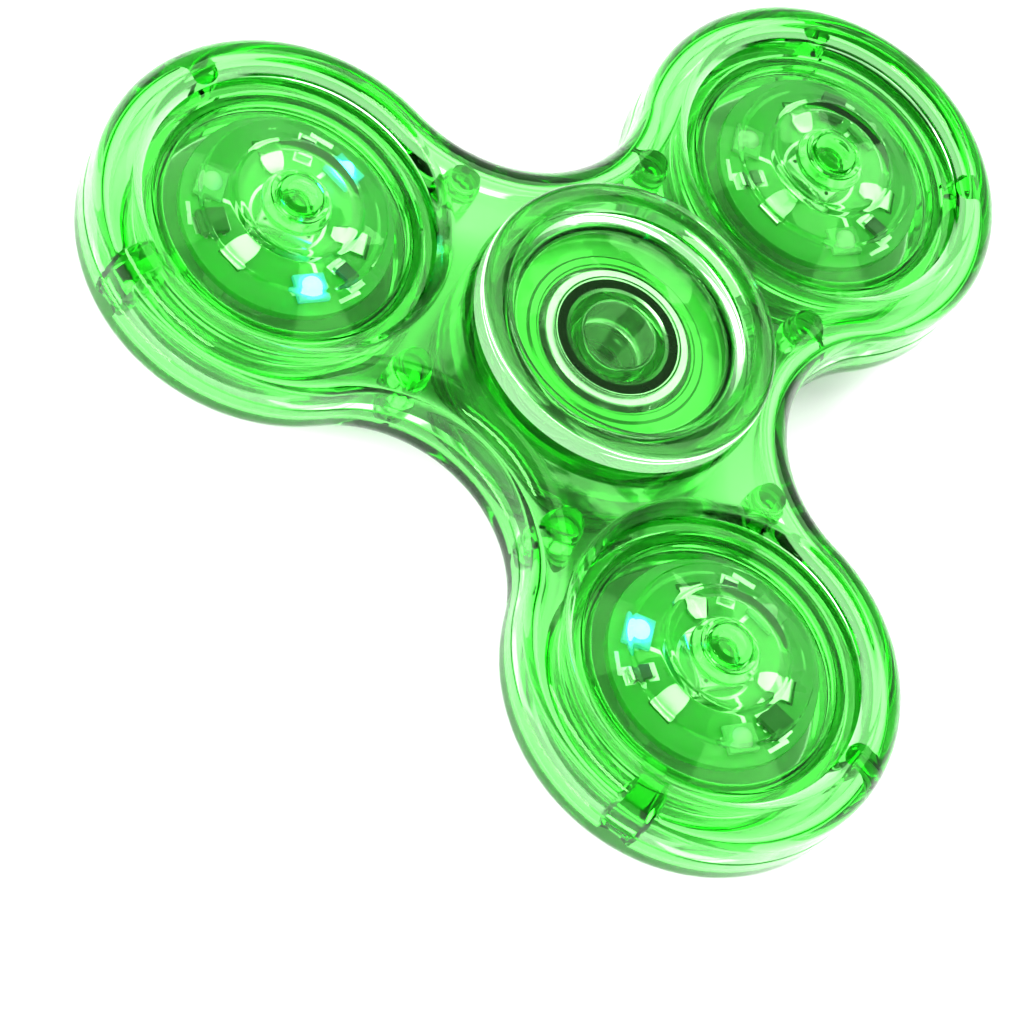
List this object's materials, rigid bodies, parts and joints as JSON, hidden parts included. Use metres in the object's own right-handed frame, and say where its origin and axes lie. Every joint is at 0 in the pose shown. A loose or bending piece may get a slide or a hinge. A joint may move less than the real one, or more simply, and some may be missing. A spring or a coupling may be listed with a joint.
{
  "type": "fidget spinner",
  "caption": "Flat clear green-tinted spinner: round lobes with stepped light pods and push buttons about a ball bearing held between dished finger caps.",
  "frame": {"origin": "on the spin axis, at the plane of the lower finger cap rim", "axes": "+Z along the spin axis, out of the face with the push buttons; +Y along one arm"},
  "size_m": [0.0786, 0.0723, 0.0142],
  "materials": {
    "shell_clear": "clear green-tinted plastic, polished",
    "cap_clear": "clear green-tinted plastic, polished",
    "pod_clear": "clear green-tinted plastic, polished",
    "button_clear": "clear green-tinted plastic, polished",
    "bearing_steel": "ground bearing steel",
    "ball_chrome": "polished steel",
    "shield_steel": "pressed steel, spun finish",
    "cage_nylon": "moulded nylon",
    "switch_metal": "pressed tinplate",
    "board_green": "green solder mask",
    "led_lit": "clear epoxy, lit",
    "cell_nickel": "nickel-plated steel",
    "clip_nickel": "nickel-plated spring steel",
    "chip_black": "black epoxy",
    "resistor_ceramic": "dark glaze with tinned ends"
  },
  "bodies": {
    "hub": {"finger_cap_top": "cap_clear", "finger_cap_bottom": "cap_clear", "bearing_inner_ring": "bearing_steel"},
    "rotor": {"top_shell": "shell_clear", "bottom_shell": "shell_clear", "bearing_outer_ring": "bearing_steel", "bearing_shield_top": "shield_steel", "bearing_shield_bottom": "shield_steel", "pod_lens_1": "pod_clear", "pod_base_1": "pod_clear", "pod_switch_1": "switch_metal", "pod_board_1": "board_green", "pod_leds_1": "led_lit", "pod_cells_1": "cell_nickel", "pod_clip_1": "clip_nickel", "pod_chip_1": "chip_black", "pod_resistors_1": "resistor_ceramic", "pod_lens_2": "pod_clear", "pod_base_2": "pod_clear", "pod_switch_2": "switch_metal", "pod_board_2": "board_green", "pod_leds_2": "led_lit", "pod_cells_2": "cell_nickel", "pod_clip_2": "clip_nickel", "pod_chip_2": "chip_black", "pod_resistors_2": "resistor_ceramic", "pod_lens_3": "pod_clear", "pod_base_3": "pod_clear", "pod_switch_3": "switch_metal", "pod_board_3": "board_green", "pod_leds_3": "led_lit", "pod_cells_3": "cell_nickel", "pod_clip_3": "clip_nickel", "pod_chip_3": "chip_black", "pod_resistors_3": "resistor_ceramic"},
    "ball_set": {"bearing_balls": "ball_chrome", "bearing_cage": "cage_nylon"},
    "button_1": {"pod_button_1": "button_clear"},
    "button_2": {"pod_button_2": "button_clear"},
    "button_3": {"pod_button_3": "button_clear"}
  },
  "joints": [
    {"name": "spin", "type": "hinge", "parent": "hub", "child": "rotor", "pos_m": [0, 0, 0.0071], "axis": [0, 0, 1], "continuous": true},
    {"name": "ball_orbit", "type": "hinge", "parent": "hub", "child": "ball_set", "pos_m": [0, 0, 0.0071], "axis": [0, 0, 1], "continuous": true},
    {"name": "press_1", "type": "slide", "parent": "rotor", "child": "button_1", "axis": [0, 0, -1], "range_m": [0, 0.0005], "stiffness_N_per_m": 1500},
    {"name": "press_2", "type": "slide", "parent": "rotor", "child": "button_2", "axis": [0, 0, -1], "range_m": [0, 0.0005], "stiffness_N_per_m": 1500},
    {"name": "press_3", "type": "slide", "parent": "rotor", "child": "button_3", "axis": [0, 0, -1], "range_m": [0, 0.0005], "stiffness_N_per_m": 1500}
  ],
  "couplings": [
    {"joint": "ball_orbit", "follows": "spin", "ratio": 0.632}
  ]
}
